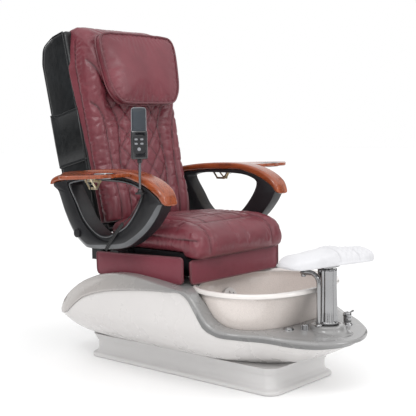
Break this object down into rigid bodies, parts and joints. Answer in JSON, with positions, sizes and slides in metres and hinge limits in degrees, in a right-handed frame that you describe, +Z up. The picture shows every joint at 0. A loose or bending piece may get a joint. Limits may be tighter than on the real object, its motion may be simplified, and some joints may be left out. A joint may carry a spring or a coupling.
{
  "type": "pedicure spa chair",
  "caption": "Reclining massage chair on a fibreglass foot-spa base, with lift-up arms, folding trays, taps and an adjustable footrest.",
  "frame": {"origin": "on the floor, on the symmetry plane of the base, under the front half of the seat", "axes": "+Z up, -Y the way the chair faces, -X the sitter's right"},
  "size_m": [1.3338, 1.4346, 1.4029],
  "materials": {
    "pearl_white": "gloss",
    "silver_grey": "gloss",
    "pearl_cream": "gloss",
    "chrome": "polished",
    "steel": "brushed",
    "black_steel": "satin",
    "motor": "matte",
    "burgundy_leather": "soft sheen",
    "white_leather": "soft sheen",
    "black_leather": "soft sheen",
    "black_plastic": "textured",
    "gloss_black": "gloss",
    "wood": "satin lacquer",
    "cream_steel": "satin",
    "black_rubber": "matte"
  },
  "bodies": {
    "base": {"plinth": "pearl_white", "hull": "pearl_white", "deck": "silver_grey", "bowl": "pearl_cream", "drain_strainer": "chrome", "jet_cover": "pearl_white", "jet_motor": "motor", "footrest_column": "chrome", "mixer_body": "chrome", "air_button_bezel": "chrome", "base_frame": "black_steel", "control_box": "black_plastic", "slide_rails": "steel", "slide_actuator": "motor"},
    "impeller": {"jet_impeller": "black_plastic"},
    "footrest_lift": {"footrest_post": "chrome"},
    "footrest_top": {"footrest_pad": "white_leather"},
    "spout": {"spout": "chrome"},
    "mixer": {"mixer_lever": "chrome"},
    "diverter": {"diverter_knob": "chrome"},
    "air_switch": {"air_button": "chrome"},
    "seat": {"seat_frame": "black_steel", "seat_cushion": "burgundy_leather", "front_skirt": "burgundy_leather", "side_skirt_right": "burgundy_leather", "side_skirt_left": "burgundy_leather", "recline_actuator": "motor", "pivot_pins": "black_steel"},
    "recline_rod": {"recline_rod": "steel"},
    "back": {"back_frame": "black_steel", "back_shell": "black_leather", "back_cushion": "burgundy_leather", "back_side_band": "black_leather", "lift_motor": "motor"},
    "lift_screw": {"lift_screw": "steel"},
    "carriage": {"massage_carriage": "black_steel"},
    "roller_right": {"roller_arm_right": "black_plastic"},
    "roller_left": {"roller_arm_left": "black_plastic"},
    "pillow": {"pillow": "burgundy_leather"},
    "arm_right": {"arm_frame_right": "black_plastic", "arm_pad_right": "wood", "tray_leaf_right": "cream_steel", "stalk_mount": "black_steel", "handset_cord": "black_rubber", "cord_sleeve": "black_leather"},
    "arm_left": {"arm_frame_left": "black_plastic", "arm_pad_left": "wood", "tray_leaf_left": "cream_steel"},
    "stalk": {"gooseneck": "chrome", "remote_cradle": "gloss_black"},
    "handset": {"handset": "black_plastic"},
    "power": {"power_button": "black_rubber"},
    "tray_right": {"tray_board_right": "wood", "tray_strap_right": "cream_steel", "tray_dish_right": "steel"},
    "strut_right": {"tray_strut_right": "cream_steel"},
    "tray_left": {"tray_board_left": "wood", "tray_strap_left": "cream_steel", "tray_dish_left": "steel"},
    "strut_left": {"tray_strut_left": "cream_steel"}
  },
  "joints": [
    {"name": "jet_spin", "type": "hinge", "parent": "base", "child": "impeller", "pos_m": [0, -0.16, 0.285], "axis": [0, -0.9659, 0.2588], "continuous": true},
    {"name": "footrest_height", "type": "slide", "parent": "base", "child": "footrest_lift", "axis": [0, 0, 1], "range_m": [0, 0.06]},
    {"name": "footrest_swivel", "type": "hinge", "parent": "footrest_lift", "child": "footrest_top", "pos_m": [0, -0.635, 0.47], "axis": [0, 0, 1], "range_deg": [-15, 35]},
    {"name": "spout_swivel", "type": "hinge", "parent": "base", "child": "spout", "pos_m": [-0.052, -0.632, 0.25], "axis": [0, 0, 1], "range_deg": [-20, 70]},
    {"name": "mixer_turn", "type": "hinge", "parent": "base", "child": "mixer", "pos_m": [0.116, -0.648, 0.26], "axis": [0, 0, 1], "range_deg": [-60, 60]},
    {"name": "diverter_turn", "type": "hinge", "parent": "base", "child": "diverter", "pos_m": [-0.084, -0.592, 0.24], "axis": [0, 0, 1], "range_deg": [-90, 90]},
    {"name": "air_button_press", "type": "slide", "parent": "base", "child": "air_switch", "axis": [0, 0, -1], "range_m": [0, 0.004], "stiffness_N_per_m": 400},
    {"name": "seat_slide", "type": "slide", "parent": "base", "child": "seat", "axis": [0, -1, 0], "range_m": [0, 0.12]},
    {"name": "recline", "type": "hinge", "parent": "seat", "child": "back", "pos_m": [0, 0.3, 0.56], "axis": [-1, 0, 0], "range_deg": [0, 30]},
    {"name": "recline_drive", "type": "slide", "parent": "seat", "child": "recline_rod", "axis": [0, -1, 0], "range_m": [0, 0.0592]},
    {"name": "carriage_lift", "type": "slide", "parent": "back", "child": "carriage", "axis": [0, 0.2334, 0.9724], "range_m": [0, 0.5]},
    {"name": "lift_screw_spin", "type": "hinge", "parent": "back", "child": "lift_screw", "pos_m": [0, 0.4622, 0.59305], "axis": [0, 0.2334, 0.9724], "range_deg": [0, 7200]},
    {"name": "roller_right_tap", "type": "hinge", "parent": "carriage", "child": "roller_right", "pos_m": [0, 0.3992, 0.71616], "axis": [1, 0, 0], "range_deg": [-4, 4]},
    {"name": "roller_left_tap", "type": "hinge", "parent": "carriage", "child": "roller_left", "pos_m": [0, 0.3992, 0.71616], "axis": [1, 0, 0], "range_deg": [-4, 4]},
    {"name": "pillow_flip", "type": "hinge", "parent": "back", "child": "pillow", "pos_m": [0, 0.34354, 1.34965], "axis": [-1, 0, 0], "range_deg": [0, 100]},
    {"name": "arm_right_lift", "type": "hinge", "parent": "seat", "child": "arm_right", "pos_m": [-0.35, 0.3, 0.56], "axis": [-1, 0, 0], "range_deg": [0, 60]},
    {"name": "arm_left_lift", "type": "hinge", "parent": "seat", "child": "arm_left", "pos_m": [0.35, 0.3, 0.56], "axis": [-1, 0, 0], "range_deg": [0, 60]},
    {"name": "stalk_swivel", "type": "hinge", "parent": "arm_right", "child": "stalk", "pos_m": [-0.405, -0.08, 0.74], "axis": [0, 0, 1], "range_deg": [-60, 60]},
    {"name": "handset_lift_out", "type": "slide", "parent": "stalk", "child": "handset", "axis": [0, 0, 1], "range_m": [0, 0.12]},
    {"name": "power_press", "type": "slide", "parent": "handset", "child": "power", "axis": [-0.7314, -0.682, 0], "range_m": [0, 0.0008], "stiffness_N_per_m": 400},
    {"name": "tray_right_fold", "type": "hinge", "parent": "arm_right", "child": "tray_right", "pos_m": [-0.398, 0.2, 0.79], "axis": [0, -1, 0], "range_deg": [0, 90]},
    {"name": "strut_right_fold", "type": "hinge", "parent": "arm_right", "child": "strut_right", "pos_m": [-0.395, 0.17, 0.744], "axis": [0, -1, 0], "range_deg": [0, 145]},
    {"name": "tray_left_fold", "type": "hinge", "parent": "arm_left", "child": "tray_left", "pos_m": [0.398, 0.2, 0.79], "axis": [0, 1, 0], "range_deg": [0, 90]},
    {"name": "strut_left_fold", "type": "hinge", "parent": "arm_left", "child": "strut_left", "pos_m": [0.395, 0.17, 0.744], "axis": [0, 1, 0], "range_deg": [0, 145]}
  ],
  "couplings": [
    {"joint": "recline_drive", "follows": "recline", "m_per_rad": 0.11286},
    {"joint": "lift_screw_spin", "follows": "carriage_lift", "rad_per_m": 251.2},
    {"joint": "roller_left_tap", "follows": "roller_right_tap", "ratio": -1},
    {"joint": "strut_right_fold", "follows": "tray_right_fold", "ratio": 1.61},
    {"joint": "strut_left_fold", "follows": "tray_left_fold", "ratio": 1.61}
  ]
}
